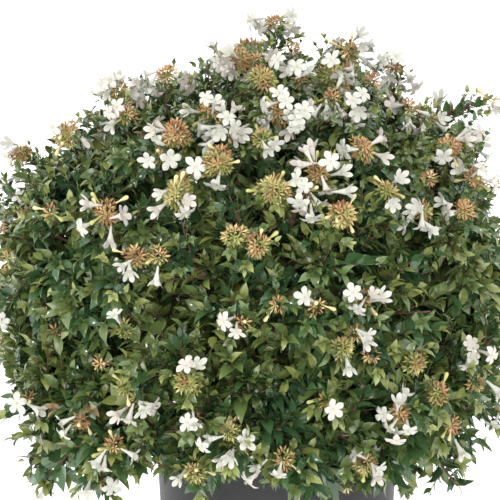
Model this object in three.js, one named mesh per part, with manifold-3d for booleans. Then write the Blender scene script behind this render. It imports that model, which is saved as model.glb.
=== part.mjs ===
// A compact glossy abelia in flower, growing in a plain nursery pot.
//
// Millimetres, +Z up. The origin is the centre of the pot's flat underside, and -Y is the front.
// The plant is a short main stem, one bough for each mass of foliage, and the masses, which share
// out a domed crown between them. Each mass is a small dense core with leafy shoots standing out
// of it, and many shoots end in a head of sepals with open flowers.

import * as THREE from "three";
import { mergeVertices } from "three/addons/utils/BufferGeometryUtils.js";
import Module from "manifold-3d";

const wasm = await Module();
wasm.setup();
const { Manifold, Mesh } = wasm;

// Driving dimensions

const TOUCH = 0.3; // air left between pieces that touch
const SHORTEST_EDGE = 0.02; // edges under this are closed up after pieces are fused

const POT = {
  height: 240,
  rimRadius: 127,
  shoulderRadius: 124, // the wall just under the rim band
  baseRadius: 113,
  bandHeight: 21,
  wall: 2.6,
  floor: 3.5,
  corner: 4,
  sides: 36,
};
const DRAIN = { count: 6, radius: 8, centreHeight: 3, length: 30, sides: 8 };
// The mix is flat round the stem, and falls towards the pot's wall, mostly beyond its shoulder.
const MIX = { top: 219, edgeDrop: 5, flatRadius: 34, shoulder: { radiusShare: 0.7, dropShare: 0.3 } };
const STEM = {
  height: 64,
  footRadius: 27, // at the root flare, which has shallow lobes
  topRadius: 14,
  lobes: 5,
  lobeDepth: 0.17,
  lean: -5,
  sides: 15,
  rings: 5,
};

// The crown is a dome that stands a little to the left of the pot's axis. Its growing points are spread
// over it from the top down to the slope named lowest.
const CROWN = {
  x: -24,
  radius: 281,
  waist: 388,
  top: 652,
  underside: 206,
  droop: 34, // how much lower the skirt hangs at the left and right than at the front and back
  domePower: 2.05,
  skirtPower: 3.2,
  points: 180,
  lowest: -0.6,
};
const WAIST_CENTRE = new THREE.Vector3(CROWN.x, 0, CROWN.waist);

// The masses stand in rings, from the skirt up, by turns lower and higher by the stagger. Their boughs
// leave the main stem lower for lower rings, at the slope and for the distance named leave and bend.
const RINGS = [
  {
    name: "skirt",
    ...{ count: 6, turn: 30, radius: 180, height: 292, stagger: -10 },
    ...{ stemShare: 0.28, leave: 34, bend: 78, thick: 5.2 },
  },
  {
    name: "flank",
    ...{ count: 5, turn: 68, radius: 163, height: 420, stagger: -14 },
    ...{ stemShare: 0.54, leave: 42, bend: 96, thick: 5.6 },
  },
  {
    name: "shoulder",
    ...{ count: 3, turn: 100, radius: 88, height: 535, stagger: 10 },
    ...{ stemShare: 0.8, leave: 58, bend: 104, thick: 5.6 },
  },
  {
    name: "peak",
    ...{ count: 1, turn: 0, radius: 0, height: 578, stagger: 0 },
    ...{ stemShare: 1, leave: 90, bend: 100, thick: 6 },
  },
];
const BOUGH = { rootOut: 6, tipRadius: 3.4, sides: 5, rings: 4, tipBeforeMass: 62 };
const MASS = { cellGap: 3, limbClearance: 3, potClearance: 6 };
const CORE = { detail: 2, reach: 135, share: 0.81, least: 8, roughness: 0.17, wallRoughness: 0.1 };
const SHOOT = {
  sunk: 7, // how far its root lies under the core's surface
  rootRadius: 3,
  tipRadius: 1.7,
  sides: 3,
  share: 0.95, // it ends at this share of the way to the dome, and up to the spread more,
  spread: 0.12,
  leafRoom: 46, // less the room for the leaf at its tip
  least: 8,
  lift: 0.1,
};
const LEAF = { length: 57, width: 29, thickness: 1.6, fold: 3, widest: 0.42, out: 0.4 };
const LEAF_SIZE = { least: 0.88, spread: 0.24 };
const PAIR_LEAN = 0.95; // radians between a shoot and the leaves of its pairs
const LONE_LEAF = { sunk: 4, lift: 0.72 }; // a leaf that stands on the core, lifted by this angle from it
const TIP_SUNK = 1.5; // how far the leaf at a shoot's tip is sunk in it
const LEAVES_APART = 19; // between the middles of any two leaves or flowers of a mass
const PAIRS = [0.82]; // where along a shoot its pairs of opposite leaves stand
const STRAY_PAIRS = [0.62, 0.78, 0.92];
const HEAD_RADIUS = 15;
const FLOWER = { length: 27, radius: 12, throat: 0.6, lean: 0.75, count: 2, rootShare: 0.4 };
const SEED = 1801;
const TURNS = 5; // how many turns are tried for a leaf or a pair before it is skipped
const BLOOM_FROM = 330; // shoots that end above this height may flower
const BLOOM_SHARE = 0.3;

// Where the twigs end of the few shoots that run out past the dome.
const STRAYS = [
  { tip: [-4, -16, 634], bloom: true },
  { tip: [62, -30, 618], bloom: true },
  { tip: [192, -52, 562], bloom: false },
  { tip: [-238, -34, 516], bloom: true },
  { tip: [-236, -104, 212], bloom: false },
  { tip: [176, -118, 214], bloom: false },
];

const COLOURS = {
  pot: { color: 0x4b484b, roughness: 0.6 },
  mix: { color: 0x3b2a1e, roughness: 1 },
  bark: { color: 0x7a5a45, roughness: 0.85 },
  foliage: { color: 0x3d6b31, roughness: 0.4 },
};

const UP = new THREE.Vector3(0, 0, 1);
const GOLDEN_ANGLE = Math.PI * (3 - Math.sqrt(5));

// Helpers for geometry

// A repeatable stream of numbers from 0 to 1.
function seeded(seed) {
  let state = seed;
  return () => {
    state = (1664525 * state + 1013904223) % 4294967296;
    return state / 4294967296;
  };
}

// The bare faces of a geometry, with one vertex where several stood.
function bareFaces(geometry) {
  const bare = new THREE.BufferGeometry();
  bare.setAttribute("position", geometry.getAttribute("position"));
  bare.setIndex(geometry.index);
  return mergeVertices(bare, 1e-3);
}

// Moves each vertex of a geometry to where place(vertex) says.
function reshape(geometry, place) {
  const shape = bareFaces(geometry);
  const positions = shape.getAttribute("position");
  const vertex = new THREE.Vector3();
  for (let i = 0; i < positions.count; i++) {
    const moved = place(vertex.fromBufferAttribute(positions, i));
    positions.setXYZ(i, moved.x, moved.y, moved.z);
  }
  return shape;
}

function solid(geometry) {
  const { attributes, index } = bareFaces(geometry);
  const vertProperties = attributes.position.array;
  return new Manifold(new Mesh({ numProp: 3, vertProperties, triVerts: new Uint32Array(index.array) }));
}

function geometryOf(shape) {
  const { vertProperties, triVerts } = shape.getMesh();
  const geometry = new THREE.BufferGeometry();
  geometry.setAttribute("position", new THREE.BufferAttribute(vertProperties, 3));
  geometry.setIndex(new THREE.BufferAttribute(triVerts, 1));
  geometry.computeVertexNormals();
  return geometry;
}

// A solid whose vertices that nearly meet are made to meet.
function welded(shape) {
  return solid(geometryOf(shape));
}

// The largest body of a solid, without loose scraps and sealed hollows.
function mainBody(shape) {
  return shape.decompose().reduce((largest, body) => (body.volume() > largest.volume() ? body : largest));
}

// Unit directions side and face, square to along, with face as near to towards as it can be.
function frameFor(along, towards) {
  const side = new THREE.Vector3().crossVectors(towards, along);
  if (side.length() < 1e-3) side.set(0, 1, 0);
  side.normalize();
  return { side, face: new THREE.Vector3().crossVectors(along, side).normalize() };
}

// Stands a geometry that was made along +X, with its face to +Z, at a point.
function placed(geometry, point, along, towards) {
  const { side, face } = frameFor(along, towards);
  return geometry.applyMatrix4(new THREE.Matrix4().makeBasis(along, side, face).setPosition(point));
}

// A tapering limb: a cylinder whose rings are moved onto a curve.
function limb(curve, rootRadius, tipRadius, sides, rings) {
  const { normals, binormals } = curve.computeFrenetFrames(rings);
  return reshape(new THREE.CylinderGeometry(1, 1, 1, sides, rings), ({ x, y, z }) => {
    const share = y + 0.5;
    const ring = Math.round(share * rings);
    const radius = THREE.MathUtils.lerp(rootRadius, tipRadius, share);
    return curve
      .getPointAt(share)
      .addScaledVector(normals[ring], x * radius)
      .addScaledVector(binormals[ring], -z * radius);
  });
}

// The pot and what fills it

function lathe(profile, sides) {
  const points = profile.map(([radius, height]) => new THREE.Vector2(radius, height));
  return new THREE.LatheGeometry(points, sides).rotateX(Math.PI / 2);
}

// The pot's inner radius at a height.
function innerRadius(height) {
  return THREE.MathUtils.lerp(POT.baseRadius, POT.shoulderRadius, height / POT.height) - POT.wall;
}

function pot() {
  const bandFoot = POT.height - POT.bandHeight;
  const round = POT.wall / 2;
  const profile = [
    [0, 0],
    [POT.baseRadius - POT.corner, 0],
    [POT.baseRadius, POT.corner],
    [POT.shoulderRadius, bandFoot],
    [POT.rimRadius - round, bandFoot + round],
    [POT.rimRadius, bandFoot + 2 * round],
    [POT.rimRadius, POT.height - round],
    [POT.rimRadius - round, POT.height],
    [innerRadius(POT.height) + round, POT.height],
    [innerRadius(POT.height), POT.height - round],
    [innerRadius(POT.floor), POT.floor],
    [0, POT.floor],
  ];
  const drains = Array.from({ length: DRAIN.count }, (_, i) => {
    const hole = new THREE.CylinderGeometry(DRAIN.radius, DRAIN.radius, DRAIN.length, DRAIN.sides);
    hole.translate(0, POT.baseRadius, DRAIN.centreHeight);
    return solid(hole.rotateZ((2 * Math.PI * i) / DRAIN.count));
  });
  return mainBody(solid(lathe(profile, POT.sides)).subtract(Manifold.union(drains)));
}

function pottingMix() {
  const foot = POT.floor + TOUCH;
  const edge = MIX.top - MIX.edgeDrop;
  const profile = [
    [0, foot],
    [innerRadius(foot) - TOUCH, foot],
    [innerRadius(edge) - TOUCH, edge],
    [innerRadius(edge) * MIX.shoulder.radiusShare, MIX.top - MIX.edgeDrop * MIX.shoulder.dropShare],
    [MIX.flatRadius, MIX.top],
    [0, MIX.top],
  ];
  return solid(lathe(profile, POT.sides));
}

// The main stem and the boughs

// A point of the main stem's middle line: share 0 at its foot and 1 at its top.
function stemAxis(share) {
  return new THREE.Vector3(STEM.lean * share, 0, MIX.top + TOUCH + share * STEM.height);
}

// A point of the main stem's surface, grown by a clearance.
function stemPoint(share, angle, grown = 0) {
  const flare = (1 - share) ** 3;
  const lobe = 1 + STEM.lobeDepth * flare * Math.cos(STEM.lobes * angle);
  const radius = THREE.MathUtils.lerp(STEM.topRadius, STEM.footRadius, flare) * lobe + grown;
  const outward = new THREE.Vector3(Math.cos(angle), Math.sin(angle), 0);
  return stemAxis(share).addScaledVector(outward, radius);
}

function mainStem(grown = 0) {
  return reshape(new THREE.CylinderGeometry(1, 1, 1, STEM.sides, STEM.rings), ({ x, y, z }) => {
    const share = y + 0.5;
    const onAxis = x === 0 && z === 0;
    const point = onAxis ? stemAxis(share) : stemPoint(share, Math.atan2(-z, x), grown);
    if (share === 1) point.z += grown;
    return point;
  });
}

function massesOf(ring, first) {
  return Array.from({ length: ring.count }, (_, place) => {
    const angle = THREE.MathUtils.degToRad(ring.turn) + (2 * Math.PI * place) / ring.count;
    const spoke = new THREE.Vector3(Math.cos(angle), Math.sin(angle), 0);
    const height = ring.height + (place % 2 ? ring.stagger : -ring.stagger);
    const centre = new THREE.Vector3(CROWN.x, 0, height).addScaledVector(spoke, ring.radius);
    const name = ring.count > 1 ? `${ring.name}_${place + 1}` : ring.name;
    return { ring, place, name, spoke, centre, seed: SEED * (first + place + 1) };
  });
}

// The bough's line, from inside the main stem, or from its top, to where the mass's own stem begins.
function boughCurve({ ring, centre, spoke }) {
  const root = stemAxis(ring.stemShare);
  if (ring.stemShare === 1) root.addScaledVector(UP, TOUCH);
  else root.addScaledVector(spoke, BOUGH.rootOut);
  const rise = THREE.MathUtils.degToRad(ring.leave);
  const bend = root
    .clone()
    .addScaledVector(spoke, ring.bend * Math.cos(rise))
    .addScaledVector(UP, ring.bend * Math.sin(rise));
  const inward = bend.clone().sub(centre).normalize();
  const tip = centre.clone().addScaledVector(inward, BOUGH.tipBeforeMass);
  return new THREE.QuadraticBezierCurve3(root, bend, tip);
}

// A mass's bough, grown by a clearance where the space round it is wanted.
function boughLimb(mass, grown = 0) {
  return solid(limb(mass.curve, mass.ring.thick + grown, BOUGH.tipRadius + grown, BOUGH.sides, BOUGH.rings));
}

function bough(mass) {
  return mainBody(boughLimb(mass).subtract(solid(mainStem(TOUCH))));
}

// The mass's own stem, which carries the bough's line on to the middle of the mass.
function massStem({ curve, centre }) {
  const root = curve.getPointAt(1).addScaledVector(curve.getTangentAt(1), TOUCH);
  return limb(new THREE.LineCurve3(root, centre), BOUGH.tipRadius, SHOOT.rootRadius, BOUGH.sides, 1);
}

// The space that each mass keeps to

// Below 1 inside the dome, 1 on it.
function domeShare(point) {
  const above = point.z > CROWN.waist;
  const power = above ? CROWN.domePower : CROWN.skirtPower;
  const spoke = Math.hypot(point.x - CROWN.x, point.y);
  const droop = spoke === 0 ? 0 : CROWN.droop * ((point.x - CROWN.x) / spoke) ** 2;
  const half = above ? CROWN.top - CROWN.waist : CROWN.waist - CROWN.underside + droop;
  const out = spoke / CROWN.radius;
  const up = Math.abs(point.z - CROWN.waist) / half;
  return (out ** power + up ** power) ** (1 / power);
}

// True where a point is nearer to a mass's own centre than to any other, by at least the gap between masses.
function inCell(mass, point, masses) {
  return masses.every((other) => {
    if (other === mass) return true;
    const apart = other.centre.distanceTo(mass.centre);
    const nearer = other.centre.distanceToSquared(point) - mass.centre.distanceToSquared(point);
    return nearer / (2 * apart) > MASS.cellGap / 2;
  });
}

function clearOfPot(point) {
  const { potClearance } = MASS;
  return Math.hypot(point.x, point.y) > POT.rimRadius + potClearance || point.z > POT.height + potClearance;
}

// The pot and the air close round it, as one drum.
function potSpace() {
  const clearance = MASS.potClearance / 2;
  const radius = POT.rimRadius + clearance;
  const drum = new THREE.CylinderGeometry(radius, radius, POT.height + clearance, POT.sides);
  return solid(drum.rotateX(Math.PI / 2).translate(0, 0, (POT.height + clearance) / 2));
}

function clearOfLimbs(point, limbs, clearance) {
  return limbs.every(({ at, radius }) => at.distanceTo(point) > radius + clearance);
}

// Balls along every bough and the main stem, for telling how near a point is to them.
function limbBalls(masses) {
  const steps = 24;
  const balls = masses.flatMap(({ curve, ring }) =>
    curve.getSpacedPoints(steps).map((at, i) => ({
      at,
      radius: THREE.MathUtils.lerp(ring.thick, BOUGH.tipRadius, i / steps),
    })),
  );
  for (let i = 0; i <= steps; i++) balls.push({ at: stemAxis(i / steps), radius: STEM.footRadius });
  return balls;
}

// How far a straight line from a mass's centre runs before allowed(point) fails.
function reach(mass, direction, longest, allowed) {
  const step = 2;
  const point = new THREE.Vector3();
  let far = step;
  while (far < longest && allowed(point.copy(mass.centre).addScaledVector(direction, far))) far += step;
  return far - step;
}

// Leaves, flowers and heads of sepals, made along +X from the origin

// A blade of six faces, folded along its middle, widest below it and pointed at both ends.
function leaf(size = 1) {
  const middle = LEAF.length * LEAF.widest;
  const corners = [
    [0, 0, 0],
    [LEAF.length, 0, 0],
    [middle, LEAF.width / 2, LEAF.fold],
    [middle, -LEAF.width / 2, LEAF.fold],
    [middle, 0, -LEAF.thickness],
  ];
  const faces = [0, 1, 2, 1, 0, 3, 0, 2, 4, 2, 1, 4, 1, 3, 4, 3, 0, 4];
  const blade = new THREE.BufferGeometry();
  blade.setFromPoints(corners.map((corner) => new THREE.Vector3(...corner)));
  return blade.setIndex(faces).scale(size, size, size).translate(LEAF.out, 0, 0);
}

// A five-sided funnel with an open throat.
function flower() {
  return reshape(new THREE.ConeGeometry(1, 1, 5), ({ x, y, z }) => {
    if (y > 0) return new THREE.Vector3(0, 0, 0);
    if (Math.hypot(x, z) < 0.5) return new THREE.Vector3(FLOWER.length * (1 - FLOWER.throat), 0, 0);
    return new THREE.Vector3(FLOWER.length, -FLOWER.radius * z, FLOWER.radius * x);
  });
}

// A blunt ball of sepals.
function head() {
  return reshape(new THREE.IcosahedronGeometry(1), (corner) => corner.clone().multiplyScalar(HEAD_RADIUS));
}

// The masses of foliage

// The mass whose centre is nearest to a point.
function ownerOf(point, masses) {
  return masses.reduce((a, b) => (b.centre.distanceTo(point) < a.centre.distanceTo(point) ? b : a));
}

// Points spread evenly over the dome by the golden angle, each with the mass that it belongs to.
function growingPoints(masses) {
  return Array.from({ length: CROWN.points }, (_, i) => {
    const rise = 1 - ((i + 0.5) / CROWN.points) * (1 - CROWN.lowest);
    const spread = Math.sqrt(1 - rise * rise);
    const turn = i * GOLDEN_ANGLE;
    const spoke = new THREE.Vector3(spread * Math.cos(turn), spread * Math.sin(turn), rise);
    const share = domeShare(WAIST_CENTRE.clone().add(spoke));
    const point = WAIST_CENTRE.clone().addScaledVector(spoke, 1 / share);
    return { point, owner: ownerOf(point, masses), shoots: i % 2 === 0 };
  });
}

// The first direction turned round a line from another, by a turn and a lean in radians.
function leaning(along, turn, lean) {
  const { side, face } = frameFor(along, UP);
  const sideways = side.multiplyScalar(Math.cos(turn)).addScaledVector(face, Math.sin(turn));
  return along.clone().multiplyScalar(Math.cos(lean)).addScaledVector(sideways, Math.sin(lean));
}

// Tries a piece of growth at several turns, and keeps the most of it that fits.
function fitted(turn, make, room) {
  const tries = Array.from({ length: TURNS }, (_, i) => make(turn + (i * Math.PI) / TURNS).filter(room.fits));
  const best = tries.reduce((most, kept) => (kept.length > most.length ? kept : most));
  room.taken.push(...best.map(middleOf));
  return best;
}

function middleOf(geometry) {
  const box = new THREE.Box3().setFromBufferAttribute(geometry.getAttribute("position"));
  return box.getCenter(new THREE.Vector3());
}

// A shoot's line from a root to an end, bent so that it rises towards its tip.
function shootCurve(root, end) {
  const sag = root.distanceTo(end) * SHOOT.lift;
  return new THREE.QuadraticBezierCurve3(root, root.clone().lerp(end, 0.5).addScaledVector(UP, -sag), end);
}

// A shoot with pairs of opposite leaves. At its tip is one more leaf, or a head of sepals with its flowers.
function shoot(curve, pairs, blooming, random, room) {
  const twig = limb(curve, SHOOT.rootRadius, SHOOT.tipRadius, SHOOT.sides, 1);
  if (!room.holds(twig)) return [];
  const size = LEAF_SIZE.least + LEAF_SIZE.spread * random();
  const grown = [twig];
  for (const share of pairs) {
    const point = curve.getPointAt(share);
    const along = curve.getTangentAt(share);
    const pair = (turn) =>
      [turn, turn + Math.PI].map((at) => placed(leaf(size), point, leaning(along, at, PAIR_LEAN), along));
    grown.push(...fitted(Math.PI * random(), pair, room));
  }

  const tip = curve.getPointAt(1);
  const onward = curve.getTangentAt(1);
  const { face } = frameFor(onward, UP);
  if (!blooming) {
    const tipLeaf = placed(leaf(size), tip.addScaledVector(onward, -TIP_SUNK), onward, face);
    return [...grown, ...fitted(0, () => [tipLeaf], room)];
  }
  const flowers = (turn) =>
    Array.from({ length: FLOWER.count }, (_, i) => {
      const stand = leaning(onward, turn + (2 * Math.PI * i) / FLOWER.count, FLOWER.lean);
      const root = tip.clone().addScaledVector(stand, HEAD_RADIUS * FLOWER.rootShare);
      return placed(flower(), root, stand, onward);
    });
  return [...grown, placed(head(), tip, onward, face), ...fitted(Math.PI * random(), flowers, room)];
}

// A leaf that stands out of the core by itself, lying low over it.
function loneLeaf(root, outward, random, room) {
  const size = LEAF_SIZE.least + LEAF_SIZE.spread * random();
  const lean = Math.PI / 2 - LONE_LEAF.lift;
  const single = (turn) => [placed(leaf(size), root, leaning(outward, 2 * turn, lean), outward)];
  return fitted(Math.PI * random(), single, room);
}

// A ball pushed out to the walls of a mass's space, and roughest where it faces the dome.
function coreBall(mass, masses, limbs, random) {
  const inSpace = (point) =>
    clearOfPot(point) && clearOfLimbs(point, limbs, 2 * MASS.limbClearance) && inCell(mass, point, masses);
  const inDome = (point) => domeShare(point) < CORE.share;
  return reshape(new THREE.IcosahedronGeometry(1, CORE.detail), (direction) => {
    const unit = direction.clone().normalize();
    const outward = reach(mass, unit, CORE.reach, inDome);
    const far = Math.max(CORE.least, reach(mass, unit, outward, inSpace));
    const rough = random() * (far < outward ? CORE.wallRoughness : CORE.roughness);
    return mass.centre.clone().addScaledVector(unit, far * (1 - rough));
  });
}

// How far the surface of a ball lies from its middle in a direction.
function surfaceAlong(ball, middle, direction) {
  const ray = new THREE.Ray(middle, direction);
  const corners = [new THREE.Vector3(), new THREE.Vector3(), new THREE.Vector3()];
  const hit = new THREE.Vector3();
  const { array } = ball.index;
  for (let i = 0; i < array.length; i += 3) {
    corners.forEach((corner, k) => corner.fromBufferAttribute(ball.getAttribute("position"), array[i + k]));
    if (ray.intersectTriangle(...corners, false, hit)) return hit.distanceTo(middle);
  }
  return 0;
}

// Whether a test holds at every vertex of a geometry and at the middle of every face.
function everyPoint(geometry, test) {
  const positions = geometry.getAttribute("position");
  const corners = Array.from({ length: positions.count }, (_, i) =>
    new THREE.Vector3().fromBufferAttribute(positions, i),
  );
  const middle = new THREE.Vector3();
  const { array } = geometry.index;
  for (let i = 0; i < array.length; i += 3) {
    middle.copy(corners[array[i]]).add(corners[array[i + 1]]).add(corners[array[i + 2]]).divideScalar(3);
    if (!test(middle)) return false;
  }
  return corners.every(test);
}

function foliage(mass, masses, limbs, points) {
  const random = seeded(mass.seed);
  const roomy = (point) =>
    inCell(mass, point, masses) && clearOfPot(point) && clearOfLimbs(point, limbs, MASS.limbClearance);
  const taken = [];
  const apart = (middle) => taken.every((other) => other.distanceTo(middle) > LEAVES_APART);
  const holds = (piece) => everyPoint(piece, roomy);
  const room = { taken, holds, fits: (piece) => apart(middleOf(piece)) && holds(piece) };
  const ball = coreBall(mass, masses, limbs, random);
  const grown = [massStem(mass)];
  for (const { tip, bloom } of STRAYS) {
    const end = new THREE.Vector3(...tip);
    if (ownerOf(end, masses) !== mass) continue;
    grown.push(...shoot(shootCurve(mass.centre, end), STRAY_PAIRS, bloom, random, room));
  }
  for (const { point, shoots } of points.filter(({ owner }) => owner === mass)) {
    const direction = point.clone().sub(mass.centre);
    const far = direction.length();
    direction.divideScalar(far);
    const surface = surfaceAlong(ball, mass.centre, direction);
    const onLine = (distance) => mass.centre.clone().addScaledVector(direction, distance);
    const length = far * (SHOOT.share + SHOOT.spread * random()) - SHOOT.leafRoom;
    const blooming = point.z > BLOOM_FROM && random() < BLOOM_SHARE;
    if (shoots && length - surface > SHOOT.least) {
      const curve = shootCurve(onLine(surface - SHOOT.sunk), onLine(length));
      grown.push(...shoot(curve, PAIRS, blooming, random, room));
    } else {
      grown.push(...loneLeaf(onLine(surface - LONE_LEAF.sunk), direction, random, room));
    }
  }
  const keptClear = [potSpace(), ...masses.map((other) => boughLimb(other, MASS.limbClearance))];
  const core = solid(ball).subtract(Manifold.union(keptClear));
  return mainBody(welded(Manifold.union([core, ...grown.map(solid)]).simplify(SHORTEST_EDGE)));
}

// The assembly

const group = new THREE.Group();

function add(name, shape, colour) {
  const mesh = new THREE.Mesh(geometryOf(shape), new THREE.MeshStandardMaterial({ ...colour, metalness: 0 }));
  mesh.name = name;
  group.add(mesh);
}

const masses = RINGS.flatMap((ring, i) =>
  massesOf(
    ring,
    RINGS.slice(0, i).reduce((total, { count }) => total + count, 0),
  ),
);
for (const mass of masses) mass.curve = boughCurve(mass);
const limbs = limbBalls(masses);
const points = growingPoints(masses);

add("pot", pot(), COLOURS.pot);
add("potting_mix", pottingMix(), COLOURS.mix);
add("main_stem", solid(mainStem()), COLOURS.bark);
for (const mass of masses) {
  add(`bough_${mass.name}`, bough(mass), COLOURS.bark);
  add(`foliage_${mass.name}`, foliage(mass, masses, limbs, points), COLOURS.foliage);
}

export default group;
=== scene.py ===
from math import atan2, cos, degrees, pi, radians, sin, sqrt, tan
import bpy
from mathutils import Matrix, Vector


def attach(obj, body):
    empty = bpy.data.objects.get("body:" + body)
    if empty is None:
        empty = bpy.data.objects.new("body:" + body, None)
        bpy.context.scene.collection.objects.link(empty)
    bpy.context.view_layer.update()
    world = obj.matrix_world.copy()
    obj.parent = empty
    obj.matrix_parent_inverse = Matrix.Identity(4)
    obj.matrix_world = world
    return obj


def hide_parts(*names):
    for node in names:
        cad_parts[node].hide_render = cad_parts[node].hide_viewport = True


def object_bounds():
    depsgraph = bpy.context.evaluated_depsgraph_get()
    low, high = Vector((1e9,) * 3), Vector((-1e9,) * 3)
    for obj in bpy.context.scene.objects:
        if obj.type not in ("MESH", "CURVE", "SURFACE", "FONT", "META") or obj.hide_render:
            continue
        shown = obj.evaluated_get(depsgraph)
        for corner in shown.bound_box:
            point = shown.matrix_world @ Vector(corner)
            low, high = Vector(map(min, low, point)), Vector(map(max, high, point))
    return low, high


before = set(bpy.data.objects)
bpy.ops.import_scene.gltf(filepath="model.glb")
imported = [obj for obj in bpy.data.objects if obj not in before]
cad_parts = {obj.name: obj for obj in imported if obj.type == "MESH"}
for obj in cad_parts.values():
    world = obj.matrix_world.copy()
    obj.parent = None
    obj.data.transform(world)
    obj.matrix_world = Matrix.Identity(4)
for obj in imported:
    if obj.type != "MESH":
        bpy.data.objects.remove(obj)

# A compact glossy abelia in flower, growing in a plain nursery pot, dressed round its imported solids.
#
# Metres, +Z up. The origin is the centre of the pot's flat underside, and -Y is the front.
# The masses of foliage grow by the rule of their solids, carried to finer twigs: branches run from the
# middle of each mass to points spread over the domed crown, twigs leave the branches and sprigs the
# twigs, and both bear pairs of opposite leaves.

from types import SimpleNamespace as Values

import bpy
import numpy as np
from mathutils import Vector, noise
from numpy.linalg import norm

CAD_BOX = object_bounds()
scene = bpy.context.scene

# Driving dimensions, the same as in the solids

POT = Values(
    height=0.240, rim_radius=0.127, shoulder_radius=0.124, base_radius=0.113, band_height=0.021,
    wall=0.0026, floor=0.0035,
)
DRAIN = Values(count=6, radius=0.008, centre_height=0.003, length=0.030)
MIX = Values(top=0.219, edge_drop=0.005)
STEM = Values(
    height=0.064, foot_radius=0.027, top_radius=0.014, lobes=5, lobe_depth=0.17, lean=-0.005,
)
TOUCH = 0.0003

CROWN = Values(
    x=-0.024, radius=0.281, waist=0.388, top=0.652, underside=0.206, droop=0.034, dome_power=2.05,
    skirt_power=3.2, points=180, lowest=-0.6,
)
WAIST = np.array([CROWN.x, 0, CROWN.waist])

# For each ring of masses: count, turn in degrees, radius, height, stagger, the share of the main stem
# where its boughs leave, their slope in degrees, how far out they bend, and their thickness.
RING_KEYS = ("count", "turn", "radius", "height", "stagger", "stem_share", "leave", "bend", "thick")
RINGS = {
    "skirt": (6, 30, 0.180, 0.292, -0.010, 0.28, 34, 0.078, 0.0052),
    "flank": (5, 68, 0.163, 0.420, -0.014, 0.54, 42, 0.096, 0.0056),
    "shoulder": (3, 100, 0.088, 0.535, 0.010, 0.80, 58, 0.104, 0.0056),
    "peak": (1, 0, 0.000, 0.578, 0.000, 1.00, 90, 0.100, 0.0060),
}
BOUGH = Values(root_out=0.006, tip_radius=0.0034, tip_before_mass=0.062)
LIFT = 0.1  # how far a shoot sags below a straight line, as a share of its length
CORE_BOW = 0.004  # how far the stem inside a mass bows

# Where the twigs end of the few shoots that run out past the dome.
STRAYS = [
    (-0.004, -0.016, 0.634), (0.062, -0.030, 0.618), (0.192, -0.052, 0.562),
    (-0.238, -0.034, 0.516), (-0.236, -0.104, 0.212), (0.176, -0.118, 0.214),
]

# Driving dimensions of the finer growth

SEED = 1801
TWIGS = Values(count=1300, lowest=-0.66, leave=(0.42, 0.8), sag=0.04)
BRANCH_REACH = 0.82  # how far a branch goes of the way to its growing point
# How far the twigs reach, in shares of the dome: the least, what chance adds, and the height of the
# lumps, which grows towards the back, between two places along Y.
REACH = Values(least=0.80, spread=0.13, lump=0.055, more_lump=0.05, start=-0.05, stop=0.08)
LUMP_WAVES = ((13, 1), (29, 0.6))  # scales and weights of the noise
# The same for those at the crown's edge, by their direction from the front, in degrees from +X up.
EDGES = (
    (-180, 1.00), (-168, 0.99), (-152, 0.88), (-142, 0.88), (-132, 1.00), (-110, 1.00), (-60, 1.00),
    (-46, 0.88), (-34, 0.82), (-20, 0.95), (0, 1.00), (30, 1.00), (37, 1.04), (41, 1.06), (45, 0.95),
    (51, 0.98), (57, 1.01), (61, 0.98), (67, 1.02), (71, 0.99), (75, 0.90), (80, 1.00), (88, 1.00),
    (93, 0.92), (100, 0.89), (110, 0.88), (120, 0.88), (127, 0.94), (136, 0.87), (141, 0.93),
    (147, 1.00), (156, 1.06), (170, 1.00), (180, 1.00),
)
# How much lower the low twigs hang: at the front by their place from left to right, elsewhere by a
# little, and more from one height down to another.
HANG = Values(
    x=(-0.17, -0.10, -0.03, 0.05, 0.09), by=(0.0, -0.020, -0.006, 0.012, 0.026), elsewhere=0.004,
    front=2.5, start=0.32, stop=0.25,
)
# Finer shoots that the photograph shows: how they leave a branch, and their tips' pixels, across and
# down its picture.
SEEN_SHOOT = Values(leave=0.84, bend=0.5)
SEEN_SHOOTS = [
    (262, 30), (283, 24), (290, 45), (305, 36), (313, 42), (322, 60), (340, 44), (352, 42), (383, 58),
    (394, 56), (403, 66), (414, 102), (424, 112), (447, 112), (458, 110), (470, 112), (480, 104), (492, 98),
    (478, 150), (485, 168), (498, 178), (240, 48), (228, 56), (207, 60), (198, 58), (190, 78), (176, 61),
    (163, 70), (140, 77), (128, 80), (103, 98), (96, 116), (80, 125), (66, 130), (58, 162), (45, 160),
    (36, 150), (24, 146), (4, 178), (12, 440), (24, 436), (42, 452), (54, 466), (30, 478), (46, 492),
    (70, 482), (60, 446), (84, 470), (108, 496), (124, 470), (142, 462), (410, 478), (438, 480), (456, 482),
    (428, 494), (404, 492), (440, 457), (470, 456), (484, 446), (30, 424), (6, 414), (150, 440), (136, 448),
    (146, 456), (132, 438), (154, 462),
]
# Shorter twigs, whose leaves close the view through the crown.
INNER = Values(count=1180, lowest=-0.6, least=0.5, spread=0.25, leave=(0.1, 0.5), scatter=0.02)
# Sprigs on a twig, cut short where they end past a share of the dome.
SPRIGS = Values(
    per_twig=2, length=(0.026, 0.046), leave=(0.35, 0.86), lean=(0.5, 0.95), outwards=0.25, upwards=0.1,
    cut_past=0.93, cut=0.55,
    bloom=0.34,  # the chance of a head on a sprig of a twig that blooms
)
# Young shoots past some of the outer twigs' tips, a few with a small head.
YOUNG = Values(
    outer=0.84, chance=0.30, leave=0.9, length=(0.016, 0.036), onward=0.5, outwards=0.35, upwards=0.45,
    scatter=0.3, bloom=0.12, head_radius=(0.0035, 0.0060), head_warm=(0.3, 1),
)
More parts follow.
